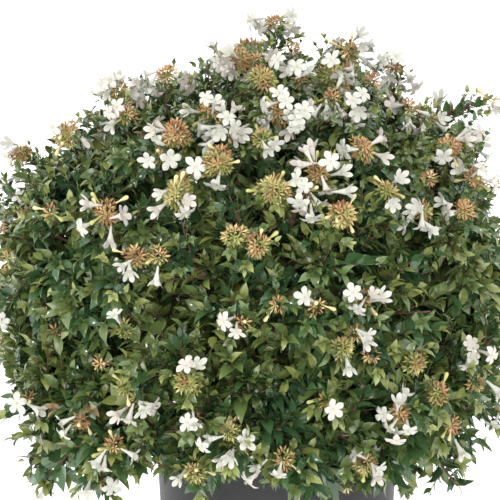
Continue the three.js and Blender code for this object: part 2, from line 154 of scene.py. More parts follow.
# The kinds of shoot: radii at root and tip, the mesh's sides and rings, and for those with leaves, how
# far from the tip they grow, their size beside a twig's, the first gap between pairs, and if their
# outline is the finer one. Shoots of three sides are green, the others are bark.
SHOOTS = {
    "core": (BOUGH.tip_radius, 0.003, 6, 6),
    "branch": (0.0023, 0.0008, 5, 7),
    "stray_branch": (0.0023, 0.0008, 5, 9),
    "stalk": (0.0006, 0.0005, 3, 3),
    "twig": (0.0011, 0.0006, 4, 5, 0.085, 1.0, 0.0076, True),
    "stray": (0.0011, 0.0006, 4, 5, 0.16, 1.0, 0.0076, True),
    "head_twig": (0.0011, 0.0006, 4, 5, 0.07, 1.0, 0.0076, True),
    "seen_shoot": (0.0011, 0.0006, 4, 5, 0.12, 0.72, 0.0060, True),
    "inner": (0.0011, 0.0006, 4, 5, 0.08, 1.15, 0.0076, False),
    "sprig": (0.0007, 0.0005, 3, 3, 0.045, 1.0, 0.0076, True),
    "head_sprig": (0.0006, 0.0004, 3, 3, 0.04, 0.72, 0.0055, False),
    "young_shoot": (0.0006, 0.0004, 3, 4, 0.045, 0.60, 0.0050, False),
}
GREEN_SIDES = 3
TUBE_FACE = np.array([0.31, 0.42, 0.85])  # along no shoot, so that no tube twists
LEAF = Values(
    low=0.0285,  # a full-grown leaf's length at the skirt
    high=0.0175,  # and at the top
    heights=(0.26, 0.62), spread=0.24,
    youngest=0.42,  # the size of a leaf at the tip, in full-grown ones
    young=0.3,  # less grown leaves have the young colour
    grown_by=0.042,  # how far from a tip they are full grown
    first_gap=0.005, gap_growth=1.17,
    last=0.92,  # how much of a shoot may bear leaves
    twist=0.3,
    lean=0.55,  # from the shoot, at its tip
    lean_more=0.55,  # and when full grown
    lean_spread=0.18,
    onward=0.7,  # what a leaf's face looks to: the tip, the sky, and chance
    upward=0.65, scatter=0.32,
)
INNER_KIND = 3  # the inner leaves' shape, after the finer ones
# Leaf colours, and the share of the sprays that have each.
DEEP, DARK, GREEN, FRESH, LIME, BRONZE = range(6)
GROWN_COLOURS = ((DEEP, DARK, GREEN, FRESH), (0.22, 0.36, 0.33, 0.09))
YOUNG_COLOURS = ((GREEN, FRESH, LIME, BRONZE), (0.50, 0.385, 0.10, 0.015))
INNER_COLOURS = ((DARK, GREEN, FRESH), (0.42, 0.40, 0.18))

# A head of sepals covers part of a lumpy ball, whose centre lies past the twig's tip.
HEAD = Values(
    calyces=78,  # in a head of the full radius
    full_radius=0.0135,
    power=2.7,  # how their number grows with the radius
    fewest=4,
    past_tip=0.35,  # in radii
    cover=1.5,  # 2 is the whole ball
    scatter=0.16, lump=0.3, lump_waves=3.1,
    depth=(0.50, 0.88),  # in radii
    warmer_above=0.35, sepal=(0.0056, 0.0078),
)
SOME_TURN = 6  # radians
WARM_KINDS = ((0, 1, 2), (0.38, 0.46, 0.16))
COOL_KINDS = (3, 4, 5)
# Heads that chance places.
BLOOM = Values(
    full=0.66, full_radius=(0.0100, 0.0135), small_radius=(0.006, 0.0085), small_share=0.55, warm=0.05,
    warm_more=0.5, warm_heights=(0.36, 0.60), warm_spread=(-0.25, 0.3), buds=2,
)
# By height: the chance that a twig blooms, and the open flowers that a full head bears.
BLOOM_HEIGHTS = (0.20, 0.27, 0.40, 0.47, 0.54, 0.66)
BLOOM_CHANCES = (0.13, 0.09, 0.09, 0.15, 0.24, 0.28)
OPEN_HEIGHTS = (0.20, 0.27, 0.42, 0.48, 0.52, 0.60, 0.66)
OPEN_FLOWERS = (2.6, 1.4, 1.2, 2.2, 3.6, 3.6, 2.6)
# Twigs that point to the photograph's eye by more than this bloom only where it shows them.
FACING = 0.22
FLOWER = 0.0200  # a flower's length
BUD = 0.0135
# How a flower or bud stands on its calyx.
STAND = Values(onward=0.1, scatter=0.65, nod=0.35, away=0.002)
VARIED = Values(size=(0.85, 1.12), second_tint=0.25)

# The photograph's view, its picture's side in pixels, the directions to its eye and up its picture,
# its eye, and half its picture's width at a distance of 1.
VIEW = Values(target=(-0.028, 0, 0.432), distance=2.2, elevation=radians(8), field=radians(13.3))
PICTURE = 500
TO_EYE = np.array([0, -cos(VIEW.elevation), sin(VIEW.elevation)])
PICTURE_UP = np.array([0, sin(VIEW.elevation), cos(VIEW.elevation)])
EYE = np.array(VIEW.target) + VIEW.distance * TO_EYE
HALF_WIDTH = tan(VIEW.field / 2)
# Where along a line of sight the dome is looked for, and the share of it that is met.
SIGHT = Values(near=1.8, far=2.4, steps=601, meets=0.96)
# A head that the photograph shows. It has buds for each millimetre of its radius, and in the upper
# crown more flowers than show. Those that show look to the eye.
SEEN = Values(
    leave=0.8, onward=0.5, sprigs=3, sprigs_apart=2.1, sprig_leave=(0.55, 0.8), sprig_lean=(0.5, 1.1),
    sprig_length=(0.022, 0.036), buds=0.13, more_flowers=1.7, more_heights=(0.50, 0.60),
    foot_out=0.7,  # in radii
    face=0.8,  # where a flower's face is, from its foot, in lengths of a flower
    least_forward=0.012, outwards=0.8, look=(0.5, 1.0), nod=0.003, scatter=0.006,
)
# The heads that it shows: pixels across and down, the radius in millimetres, the share of warm sepals,
# then across and down for each open flower.
COPPER, TAN, OLIVE, PALE = 0.85, 0.6, 0.3, 0.06
SEEN_HEADS = [
    (275, 27, 9, COPPER, 293, 36, 258, 32, 250, 25, 292, 20),
    (236, 64, 13, TAN, 214, 68, 229, 58, 222, 76),
    (257, 63, 8, TAN, 272, 60),
    (262, 84, 13, OLIVE),
    (347, 56, 11, OLIVE, 365, 66, 360, 52, 372, 72, 358, 38, 370, 48),
    (330, 80, 12, PALE),
    (300, 82, 6, TAN, 287, 74, 297, 69, 310, 74, 277, 62),
    (369, 83, 7, COPPER),
    (391, 72, 9, COPPER, 386, 90, 399, 92, 410, 86, 394, 60, 379, 66, 414, 92),
    (168, 78, 9, COPPER, 151, 89, 186, 84, 192, 94),
    (120, 95, 10, TAN, 113, 84, 140, 86, 146, 92, 143, 104, 108, 100, 104, 90, 122, 82, 136, 97),
    (127, 117, 8, COPPER, 108, 116, 117, 110, 112, 128),
    (209, 113, 9, COPPER, 187, 113, 204, 99, 216, 103),
    (225, 128, 7, TAN, 222, 110, 229, 119, 236, 131, 237, 141, 212, 138, 221, 135, 209, 148),
    (178, 136, 13, COPPER, 155, 133, 157, 144),
    (160, 158, 5, TAN, 148, 163, 171, 161),
    (185, 178, 6, COPPER, 197, 168),
    (222, 168, 13.5, OLIVE),
    (178, 200, 13, PALE, 160, 198, 158, 214, 190, 205, 188, 219),
    (72, 138, 13, TAN, 58, 130),
    (25, 158, 11, TAN, 14, 146, 22, 181, 10, 160),
    (108, 217, 10.5, COPPER, 88, 206, 126, 217, 82, 230, 112, 244),
    (28, 216, 6, TAN),
    (52, 214, 6, TAN),
    (6, 233, 6, COPPER),
    (236, 237, 10, PALE),
    (258, 246, 10, TAN),
    (278, 114, 10.5, COPPER, 278, 94, 285, 104, 262, 109, 264, 124, 290, 121),
    (297, 122, 6, TAN, 305, 112, 298, 121, 288, 134, 297, 131),
    (332, 101, 8, TAN, 312, 121, 327, 116, 336, 123, 344, 120),
    (352, 112, 6, TAN, 352, 103, 357, 115, 353, 128, 363, 95),
    (262, 141, 9, PALE, 267, 154),
    (275, 193, 14, OLIVE, 298, 183),
    (360, 150, 11, COPPER, 383, 159, 340, 152),
    (318, 176, 10, TAN, 304, 150, 330, 164, 343, 174, 326, 194, 300, 167),
    (305, 192, 6, TAN, 304, 188, 298, 205, 302, 214, 311, 221, 347, 193),
    (340, 218, 13.5, TAN),
    (443, 150, 12, COPPER, 461, 141, 464, 131, 437, 160),
    (470, 181, 9, COPPER, 479, 170, 456, 171, 494, 184),
    (385, 194, 9, OLIVE, 397, 181),
    (461, 212, 9, COPPER, 441, 214, 437, 203),
    (420, 212, 7, TAN, 413, 208, 407, 215, 398, 228, 418, 229, 429, 231),
    (487, 104, 6, TAN),
    (408, 109, 6, TAN),
    (430, 120, 5, TAN, 420, 131),
    (137, 259, 10, COPPER, 121, 269, 131, 275),
    (161, 257, 7, COPPER, 158, 284),
    (127, 331, 6, PALE, 115, 312),
    (240, 322, 6, COPPER, 222, 321, 236, 335),
    (188, 380, 11, PALE, 198, 362, 186, 361),
    (128, 388, 7, PALE),
    (140, 400, 5, TAN, 146, 410, 130, 419, 155, 406, 118, 414),
    (83, 418, 7, COPPER, 63, 435, 62, 421),
    (115, 444, 8, TAN, 98, 461, 105, 468, 137, 454),
    (100, 478, 5, TAN, 88, 490, 113, 484),
    (50, 488, 4, PALE, 40, 495),
    (195, 418, 5, TAN, 187, 420, 196, 424),
    (230, 430, 8, PALE, 208, 438, 201, 446),
    (240, 445, 6, TAN, 230, 456, 219, 461, 246, 438),
    (195, 469, 10.5, PALE, 178, 477),
    (30, 398, 5, TAN, 20, 402, 41, 409),
    (5, 318, 5, TAN, 5, 321),
    (277, 303, 6, COPPER),
    (315, 308, 6, COPPER, 303, 297),
    (362, 300, 7, TAN, 351, 292, 343, 300, 372, 293, 354, 312, 380, 297),
    (341, 346, 10, PALE, 346, 368),
    (354, 332, 6, TAN, 368, 335, 366, 343),
    (370, 355, 6, COPPER),
    (412, 361, 10, OLIVE),
    (472, 382, 8, COPPER, 495, 390),
    (470, 352, 5, TAN, 468, 343, 470, 356, 465, 369, 490, 355),
    (435, 392, 9, COPPER),
    (399, 411, 9, COPPER, 405, 390, 397, 398, 380, 413, 386, 429, 395, 440, 407, 430),
    (448, 424, 7, COPPER, 459, 452),
    (325, 400, 4, TAN, 333, 408),
    (364, 460, 9, TAN, 351, 447, 380, 467, 374, 474),
    (492, 410, 5, TAN, 491, 425),
    (285, 458, 8, OLIVE, 255, 467, 278, 475, 248, 479),
    (302, 484, 6, PALE, 320, 485),
]

PROUD = 0.008  # how far leaves may stand out of the solids' box
POT_CLEAR = (0.0015, 0.001)  # how far growth keeps from the pot's rim, outwards and up
GOLDEN_ANGLE = pi * (3 - sqrt(5))
UP = np.array([0.0, 0.0, 1.0])

rng = np.random.default_rng(SEED)


# Vectors and curves

def unit(vectors):
    """Vectors scaled to length 1, along their last axis."""
    return vectors / np.maximum(norm(vectors, axis=-1, keepdims=True), 1e-12)


def between(low, high, size=None):
    """Random numbers from low to high."""
    return low + (high - low) * rng.random(size)


def jitter(amount, size=None):
    """Random numbers from -amount to amount."""
    return between(-amount, amount, size)


def one_of(values_and_chances, size=None):
    """One of some values, or several, by their chances."""
    values, chances = values_and_chances
    return rng.choice(values, size, p=chances)


def share_between(value, low, high):
    """0 at low, 1 at high and past it."""
    return float(np.clip((value - low) / (high - low), 0, 1))


def frame_for(along, towards):
    """Unit directions side and face, square to along, with face as near to towards as can be."""
    side = np.cross(towards, along)
    short = norm(side, axis=-1, keepdims=True) < 1e-4
    side = unit(np.where(short, np.array([0.0, 1.0, 0.0]), side))
    return side, np.cross(along, side)


def leaning(along, turn, lean):
    """Directions that lean away from along by an angle and are turned round it by another."""
    side, face = frame_for(along, UP)
    sideways = side * np.cos(turn)[..., None] + face * np.sin(turn)[..., None]
    return along * np.cos(lean)[..., None] + sideways * np.sin(lean)[..., None]


def turned(points, angle, first, second):
    """Points turned by an angle from one axis towards another."""
    result = points.copy()
    result[:, first] = points[:, first] * cos(angle) - points[:, second] * sin(angle)
    result[:, second] = points[:, first] * sin(angle) + points[:, second] * cos(angle)
    return result


def waves(place, scales_and_weights):
    """Smooth noise at a place, summed over pairs of a scale and a weight."""
    return sum(weight * noise.noise(place * scale) for scale, weight in scales_and_weights)


def on_curve(curve, shares):
    """Points of a quadratic Bezier curve, given as its root, bend and end."""
    root, bend, end = curve
    s = np.asarray(shares, float)[..., None]
    return (1 - s) ** 2 * root + 2 * s * (1 - s) * bend + s**2 * end


def heading(curve, shares):
    """Unit directions of a quadratic Bezier curve."""
    root, bend, end = curve
    s = np.asarray(shares, float)[..., None]
    return unit((1 - s) * (bend - root) + s * (end - bend))


def shoot_curve(root, end):
    """A shoot's line, bent so that it rises towards its tip."""
    sag = norm(end - root) * LIFT
    return root, (root + end) / 2 - sag * UP, end


def side_curve(parent, share, end, bend=0.45, sag=0.0):
    """A line that leaves a parent's along it, at a share of it, and bends to its own end."""
    root = on_curve(parent, share)
    length = norm(end - root)
    return root, root + heading(parent, share) * length * bend - sag * length * UP, end


# The masses and their boughs

def stem_axis(share):
    """A point of the main stem's middle line."""
    return np.array([STEM.lean * share, 0, MIX.top + TOUCH + share * STEM.height])


def bough_curve(ring, centre, spoke):
    """A bough's line, from inside the main stem or its top to where the mass's stem begins."""
    root = stem_axis(ring.stem_share)
    root = root + (TOUCH * UP if ring.stem_share == 1 else BOUGH.root_out * spoke)
    rise = radians(ring.leave)
    bend = root + ring.bend * (cos(rise) * spoke + sin(rise) * UP)
    return root, bend, centre + BOUGH.tip_before_mass * unit(bend - centre)


def masses_of(name, ring):
    """The masses of one ring."""
    masses = []
    for place in range(ring.count):
        angle = radians(ring.turn) + 2 * pi * place / ring.count
        spoke = np.array([cos(angle), sin(angle), 0])
        height = ring.height + (ring.stagger if place % 2 else -ring.stagger)
        centre = np.array([CROWN.x, 0, height]) + ring.radius * spoke
        full_name = f"{name}_{place + 1}" if ring.count > 1 else name
        curve = bough_curve(ring, centre, spoke)
        masses.append(Values(name=full_name, centre=centre, curve=curve, thick=ring.thick))
    return masses


def dome_share(points):
    """Below 1 inside the dome, 1 on it."""
    x, y, z = points[..., 0] - CROWN.x, points[..., 1], points[..., 2]
    above = z > CROWN.waist
    power = np.where(above, CROWN.dome_power, CROWN.skirt_power)
    spoke = np.hypot(x, y)
    droop = CROWN.droop * (x / np.maximum(spoke, 1e-9)) ** 2
    half = np.where(above, CROWN.top - CROWN.waist, CROWN.waist - CROWN.underside + droop)
    out = spoke / CROWN.radius
    up = np.abs(z - CROWN.waist) / half
    return (out**power + up**power) ** (1 / power)


def growing_points(count, lowest):
    """Points spread evenly over the dome, from its top down to a slope."""
    i = np.arange(count)
    rise = 1 - (i + 0.5) / count * (1 - lowest)
    spread = np.sqrt(1 - rise**2)
    turn = i * GOLDEN_ANGLE
    spokes = np.stack([spread * np.cos(turn), spread * np.sin(turn), rise], axis=1)
    return WAIST + spokes / dome_share(WAIST + spokes)[:, None]


def owners(points, centres):
    """For each point, the index of the mass whose centre is nearest."""
    return np.argmin(norm(points[:, None] - centres, axis=2), axis=1)


def edge_share(point):
    """How far a twig towards a point reaches, for the outline seen from the front."""
    spoke = point - WAIST
    slope = degrees(atan2(spoke[2], spoke[0]))
    beside = 1 - (spoke[1] / norm(spoke)) ** 2
    return 1 + (np.interp(slope, *zip(*EDGES)) - 1) * beside


def hang_at(point):
    """How much lower than the dome a twig towards a point ends."""
    front = np.clip(-HANG.front * unit(point - WAIST)[1], 0, 1)
    by = front * np.interp(point[0], HANG.x, HANG.by) + (1 - front) * HANG.elsewhere
    return by * share_between(point[2], HANG.start, HANG.stop)


def seen_at(across, down):
    """The point of the dome that shows at a place of the photograph, or the nearest one."""
    rightwards = np.array([1.0, 0, 0])
    aside = (2 * across / PICTURE - 1) * rightwards + (1 - 2 * down / PICTURE) * PICTURE_UP
    ray = HALF_WIDTH * aside - TO_EYE
    steps = EYE + np.linspace(SIGHT.near, SIGHT.far, SIGHT.steps)[:, None] * ray
    shares = dome_share(steps)
    inside = np.nonzero(shares < SIGHT.meets)[0]
    return steps[inside[0] if len(inside) else np.argmin(shares)]


# Growth, in rows before any mesh is made. Their columns are a place, a direction, what the face looks
# to, a size, a material's number and a shape's number.

PLACE, ALONG, FACE = slice(0, 3), slice(3, 6), slice(6, 9)
SIZE, TINT, SHAPE = 9, 10, 11
leaf_rows = {}
calyx_rows = []
flower_rows = []
bud_rows = []
tube_rows = []


def add_shoot(mass, curve, kind, tint, young):
    """A shoot with pairs of opposite leaves, each a quarter turn from the last."""
    *tube, reach, size, gap, fine = SHOOTS[kind]
    tube_rows.append((curve, *tube))
    length = norm(curve[2] - curve[0])
    distances = []
    at = LEAF.first_gap * size
    while at < min(reach, length * LEAF.last):
        distances.append(at)
        at += gap
        gap *= LEAF.gap_growth
    if not distances:
        return
    distances = np.array(distances)
    count = len(distances)
    shares = 1 - distances / length
    points = np.repeat(on_curve(curve, shares), 2, axis=0)
    along = np.repeat(heading(curve, shares), 2, axis=0)
    turns = between(0, pi) + np.arange(count) * pi / 2 + jitter(LEAF.twist, count)
    turns = np.stack([turns, turns + pi], axis=1).ravel()
    grown = np.repeat(np.clip(distances / LEAF.grown_by, 0, 1), 2)
    leans = LEAF.lean + LEAF.lean_more * grown + jitter(LEAF.lean_spread, 2 * count)
    out = leaning(along, turns, leans)
    towards = LEAF.onward * along + LEAF.upward * UP + jitter(LEAF.scatter, (2 * count, 3))
    share = LEAF.youngest + (1 - LEAF.youngest) * np.sqrt(grown)
    full = LEAF.low + (LEAF.high - LEAF.low) * share_between(points[0][2], *LEAF.heights)
    sizes = size * full * share * (1 + jitter(1, 2 * count) * LEAF.spread)
    tints = np.full(2 * count, tint)
    tints[grown < LEAF.young] = young
    kinds = rng.integers(0, INNER_KIND, 2 * count) if fine else np.full(2 * count, INNER_KIND)
    leaf_rows[mass.name].append(np.column_stack([points, out, towards, sizes, tints, kinds]))


def spray_tint():
    """A spray's leaf colour, and the colour of its youngest leaves."""
    return one_of(GROWN_COLOURS), one_of(YOUNG_COLOURS)


def add_head(tip, onward, radius, warm_share):
    """A head of starry sepals. Gives its calyces' places and directions."""
    count = max(HEAD.fewest, int(HEAD.calyces * (radius / HEAD.full_radius) ** HEAD.power))
    centre = tip + onward * radius * HEAD.past_tip
    rise = 1 - (np.arange(count) + 0.5) / count * HEAD.cover
    turn = np.arange(count) * GOLDEN_ANGLE + between(0, SOME_TURN)
    out = leaning(np.tile(onward, (count, 1)), turn, np.arccos(np.clip(rise, -1, 1)))
    out = unit(out + jitter(HEAD.scatter, (count, 3)))
    phase = HEAD.lump_waves * out @ jitter(1, 3) + between(0, SOME_TURN)
    uneven = 1 + HEAD.lump * np.sin(phase)
    places = centre + out * (radius * uneven * between(*HEAD.depth, count))[:, None]
    warm = rng.random(count) < warm_share + HEAD.warmer_above * out[:, 2]
    warm_kinds = one_of(WARM_KINDS, count)
    kinds = np.where(warm, warm_kinds, rng.choice(COOL_KINDS, count))
    sizes = between(*HEAD.sepal, count)
    calyx_rows.append(np.column_stack([places, out, np.tile(UP, (count, 1)), sizes, kinds]))
    return places, out


def add_flower(rows, base, stand):
    """An open flower or a bud, whose turn, size, tint and shape are random."""
    tint = float(rng.random() < VARIED.second_tint)
    turn = jitter(1, 3)
    rows.append([*base, *stand, *turn, between(*VARIED.size), tint, rng.integers(0, len(COROLLAS))])


def open_some(rows, places, out, onward, wanted):
    """Flowers or buds on some of a head's calyces."""
    for i in rng.permutation(len(places))[: rng.poisson(wanted)]:
        stand = unit(out[i] + onward * STAND.onward + jitter(STAND.scatter, 3) - STAND.nod * UP)
        add_flower(rows, places[i] + stand * STAND.away, stand)


def add_chance_head(tip, onward):
    """A head whose size, colour, flowers and buds follow its height."""
    z = tip[2]
    full = rng.random() < BLOOM.full
    radius = between(*(BLOOM.full_radius if full else BLOOM.small_radius))
    warm_share = BLOOM.warm + BLOOM.warm_more * share_between(z, *BLOOM.warm_heights)
    places, out = add_head(tip, onward, radius, warm_share + between(*BLOOM.warm_spread))
    share = 1 if full else BLOOM.small_share
    open_some(flower_rows, places, out, onward, share * np.interp(z, OPEN_HEIGHTS, OPEN_FLOWERS))
    open_some(bud_rows, places, out, onward, share * BLOOM.buds)


def add_seen_head(mass, parent, tip, seen):
    """A head that the photograph shows, with its flowers where they show."""
    across, down, millimetres, warm_share, *flowers = seen
    curve = side_curve(parent, SEEN.leave, tip)
    onward = unit(unit(tip - WAIST) + SEEN.onward * heading(curve, 1.0))
    tint, young = spray_tint()
    add_shoot(mass, curve, "head_twig", tint, young)
    for turn in between(0, 2 * pi) + np.arange(SEEN.sprigs) * SEEN.sprigs_apart:
        start = on_curve(curve, between(*SEEN.sprig_leave))
        out = leaning(onward, turn, between(*SEEN.sprig_lean))
        sprig = shoot_curve(start, start + out * between(*SEEN.sprig_length))
        add_shoot(mass, sprig, "head_sprig", tint, young)
    radius = millimetres / 1000
    places, out = add_head(tip, onward, radius, warm_share)
    open_some(bud_rows, places, out, onward, millimetres * SEEN.buds)
    more = SEEN.more_flowers * share_between(tip[2], *SEEN.more_heights)
    open_some(flower_rows, places, out, onward, more)
    pixel = 2 * HALF_WIDTH * norm(tip - EYE) / PICTURE
    centre = tip + onward * millimetres / 1000 * HEAD.past_tip
    foot_to_face = SEEN.face * FLOWER
    reach = radius * SEEN.foot_out + foot_to_face
    for flower_across, flower_down in zip(flowers[::2], flowers[1::2]):
        right, above = (flower_across - across) * pixel, (down - flower_down) * pixel
        beside = np.array([right, 0, 0]) + above * PICTURE_UP
        forward = sqrt(max(reach**2 - beside @ beside, SEEN.least_forward**2))
        look = between(*SEEN.look) * forward * TO_EYE
        nod = SEEN.nod * UP
        stand = unit(SEEN.outwards * beside + look - nod + jitter(SEEN.scatter, 3))
        base = centre + beside + forward * TO_EYE - foot_to_face * stand
        tube_rows.append(((centre, (centre + base) / 2, base), *SHOOTS["stalk"]))
        add_flower(flower_rows, base, stand)


def add_young_shoot(mass, curve, onward, tint, young):
    """A young shoot past a twig's tip, and on some a small head."""
    tip = curve[2]
    rise = YOUNG.onward * onward + YOUNG.outwards * unit(tip - WAIST)
    rise = unit(rise + YOUNG.upwards * UP + jitter(YOUNG.scatter, 3))
    root = on_curve(curve, YOUNG.leave)
    shoot = shoot_curve(root, tip + rise * between(*YOUNG.length))
    add_shoot(mass, shoot, "young_shoot", tint, young)
    if rng.random() < YOUNG.bloom:
        add_head(shoot[2], rise, between(*YOUNG.head_radius), between(*YOUNG.head_warm))


def add_twig(mass, curve, kind, bloom):
    """A twig with its leaves, its sprigs, and what stands at its tip."""
    tip, onward = curve[2], heading(curve, 1.0)
    tint, young = spray_tint()
    add_shoot(mass, curve, kind, tint, young)
    if bloom:
        add_chance_head(tip, onward)
    for _ in range(SPRIGS.per_twig):
        share = between(*SPRIGS.leave)
        root = on_curve(curve, share)
        out = leaning(heading(curve, share), between(0, 2 * pi), between(*SPRIGS.lean))
        out = unit(out + SPRIGS.outwards * unit(root - mass.centre) + SPRIGS.upwards * UP)
        end = root + out * between(*SPRIGS.length)
        if dome_share(end) > SPRIGS.cut_past:
            end = root + (end - root) * SPRIGS.cut
        sprig = shoot_curve(root, end)
        add_shoot(mass, sprig, "sprig", tint, young)
        if rng.random() < (SPRIGS.bloom if bloom else 0):
            add_chance_head(end, heading(sprig, 1.0))
    if dome_share(tip) > YOUNG.outer and rng.random() < YOUNG.chance:
        add_young_shoot(mass, curve, onward, tint, young)


def grow(masses):
    """Branches to the source's growing points, then twigs from them to more points."""
    centres = np.array([mass.centre for mass in masses])
    coarse = growing_points(CROWN.points, CROWN.lowest)
    fine = growing_points(TWIGS.count, TWIGS.lowest)
    inner = growing_points(INNER.count, INNER.lowest)
    head_tips = np.array([seen_at(across, down) for across, down, *_ in SEEN_HEADS])
    shoot_tips = np.array([seen_at(across, down) for across, down in SEEN_SHOOTS])
    for index, mass in enumerate(masses):
        centre = mass.centre
        leaf_rows[mass.name] = []
        _, bend, end = mass.curve
        core = end, (end + centre) / 2 + CORE_BOW * unit(end - bend), centre
        tube_rows.append((core, *SHOOTS["core"]))
        branches = []
        for point in coarse[owners(coarse, centres) == index]:
            within = WAIST + (point - WAIST) * min(edge_share(point), 1)
            branches.append(shoot_curve(centre, centre + (within - centre) * BRANCH_REACH))
            tube_rows.append((branches[-1], *SHOOTS["branch"]))
        ends = unit(np.array([curve[2] for curve in branches]) - centre)

        def branch_to(point):
            return branches[int(np.argmax(ends @ unit(point - centre)))]

        for point in fine[owners(fine, centres) == index]:
            parent = branch_to(point)
            share = between(*TWIGS.leave)
            uneven = REACH.more_lump * share_between(point[1], REACH.start, REACH.stop)
            lump = (REACH.lump + uneven) * waves(Vector(point), LUMP_WAVES)
            far = min(REACH.least + REACH.spread * rng.random() + lump, 1.0)
            tip = WAIST + (point - WAIST) * far * edge_share(point)
            curve = side_curve(parent, share, tip - hang_at(point) * UP, sag=TWIGS.sag)
            unseen = unit(point - WAIST) @ TO_EYE < FACING
            chance = np.interp(curve[2][2], BLOOM_HEIGHTS, BLOOM_CHANCES) if unseen else 0
            add_twig(mass, curve, "twig", rng.random() < chance)
        for point in inner[owners(inner, centres) == index]:
            root = on_curve(branch_to(point), between(*INNER.leave))
            far = INNER.least + INNER.spread * rng.random()
            tip = WAIST + (point - WAIST) * far + jitter(INNER.scatter, 3)
            curve = shoot_curve(root, tip)
            add_shoot(mass, curve, "inner", one_of(INNER_COLOURS), GREEN)
        for place in np.nonzero(owners(head_tips, centres) == index)[0]:
            tip = head_tips[place]
            add_seen_head(mass, branch_to(tip), tip, SEEN_HEADS[place])
        for end in shoot_tips[owners(shoot_tips, centres) == index]:
            curve = side_curve(branch_to(end), SEEN_SHOOT.leave, end, SEEN_SHOOT.bend)
            add_shoot(mass, curve, "seen_shoot", *spray_tint())
    for tip in STRAYS:
        end = np.array(tip)
        mass = masses[owners(end[None], centres)[0]]
        curve = shoot_curve(mass.centre, end)
        tube_rows.append((curve, *SHOOTS["stray_branch"]))
        add_twig(mass, curve, "stray", False)


# Meshes. A shape is vertices and triangles. A part has a material's number for each triangle too.

def linear(red, green, blue):
    """An sRGB colour, 0 to 255, as linear light."""
    c = np.array([red, green, blue]) / 255
    return (*np.where(c <= 0.04045, c / 12.92, ((c + 0.055) / 1.055) ** 2.4), 1.0)


def fill_sockets(tree, node, sockets):
    """Links or sets a node's inputs. An underscore in a name stands for a space."""
    for name, value in sockets.items():
        socket = node.inputs[name.replace("_", " ")]
        if isinstance(value, bpy.types.NodeSocket):
            tree.links.new(value, socket)
        else:
            socket.default_value = value
    return node


def shader(name, **sockets):
    """A material with one Principled shader. Gives its node tree and its shader too."""
    material = bpy.data.materials.new(name)
    material.use_nodes = True
    tree = material.node_tree
    return material, tree, fill_sockets(tree, tree.nodes["Principled BSDF"], sockets)


def plain(table, **sockets):
    """The materials of a table of names, colours and roughness."""
    return [
        shader(name, Base_Color=linear(*colour), Roughness=roughness, **sockets)[0]
        for name, colour, roughness in table
    ]


def new_object(name, part, materials, smooth=True):
    """A mesh object from a part."""
    vertices, triangles, kinds = part
    mesh = bpy.data.meshes.new(name)
    mesh.from_pydata(vertices, [], triangles)
    for material in materials:
        mesh.materials.append(material)
    mesh.polygons.foreach_set("material_index", kinds)
    mesh.polygons.foreach_set("use_smooth", np.full(len(triangles), smooth))
    mesh.validate()
    thing = bpy.data.objects.new(name, mesh)
    scene.collection.objects.link(thing)
    return thing


def make_piece(name, part, materials, smooth=True):
    """A piece that rides on the plant's one body."""
    piece = new_object(name, part, materials, smooth)
    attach(piece, "root")
    return piece


def foliage_piece(name, parts, materials):
    piece = make_piece(name, joined(parts), materials)
    return piece


def part_of(vertices, triangles, kind=0):
    """A part of one material."""
    return np.array(vertices, float), np.array(triangles, int), np.full(len(triangles), kind)


def allowed(points):
    """True for copies that lie in the box that growth may fill and clear of the pot."""
    low = np.array(CAD_BOX[0]) - PROUD
    high = np.array(CAD_BOX[1]) + PROUD
    in_box = np.all((points > low) & (points < high), axis=(1, 2))
    spoke = np.hypot(points[..., 0], points[..., 1])
    in_pot = (spoke < POT.rim_radius + POT_CLEAR[0]) & (points[..., 2] < POT.height + POT_CLEAR[1])
    return in_box & ~np.any(in_pot, axis=1)


def planted(rows, shape, anywhere=False):
    """Copies of a shape, made along +X with its face to +Z, at the rows where they may stand.

    Gives them as one part, and their rows.
    """
    vertices, triangles = np.array(shape[0], float), np.array(shape[1], int)
    along = unit(rows[:, ALONG])
    side, face = frame_for(along, rows[:, FACE])
    axes = np.stack([along, side, face], axis=1)
    points = np.einsum("vk,nkj->nvj", vertices, axes) * rows[:, SIZE, None, None] + rows[:, None, PLACE]
    kept = allowed(points) | anywhere
    points, rows = points[kept], rows[kept]
    offsets = np.arange(len(points)) * len(vertices)
    faces = triangles[None] + offsets[:, None, None]
    kinds = np.repeat(rows[:, TINT].astype(int), len(triangles))
    return (points.reshape(-1, 3), faces.reshape(-1, 3), kinds), rows


def joined(parts):
    """Joins parts into one."""
    starts = np.cumsum([0] + [len(vertices) for vertices, _, _ in parts])
    all_triangles = [triangles + start for (_, triangles, _), start in zip(parts, starts)]
    all_vertices, _, all_kinds = zip(*parts)
    return np.concatenate(all_vertices), np.concatenate(all_triangles), np.concatenate(all_kinds)


def strip(stations):
    """A blade through stations of (x, half width, middle z, edge z). The end ones are points."""
    vertices = [(stations[0][0], 0, stations[0][2])]
    for x, half, middle, edge in stations[1:-1]:
        vertices += [(x, half, edge), (x, 0, middle), (x, -half, edge)]
    vertices.append((stations[-1][0], 0, stations[-1][2]))
    triangles = [(0, 2, 1), (0, 3, 2)]
    for row in range(len(stations) - 3):
        a = 1 + 3 * row
        for k in (0, 1):
            triangles += [(a + k, a + k + 1, a + k + 4), (a + k, a + k + 4, a + k + 3)]
    last = len(vertices) - 1
    a = last - 3
    triangles += [(a, a + 1, last), (a + 1, a + 2, last)]
    return vertices, triangles


def ring_of(x, radius, sides):
    angles = 2 * pi * np.arange(sides) / sides
    return np.column_stack([np.full(sides, x), radius * np.cos(angles), radius * np.sin(angles)])


def rings_of(profile, sides):
    return [point for x, radius in profile for point in ring_of(x, radius, sides)]


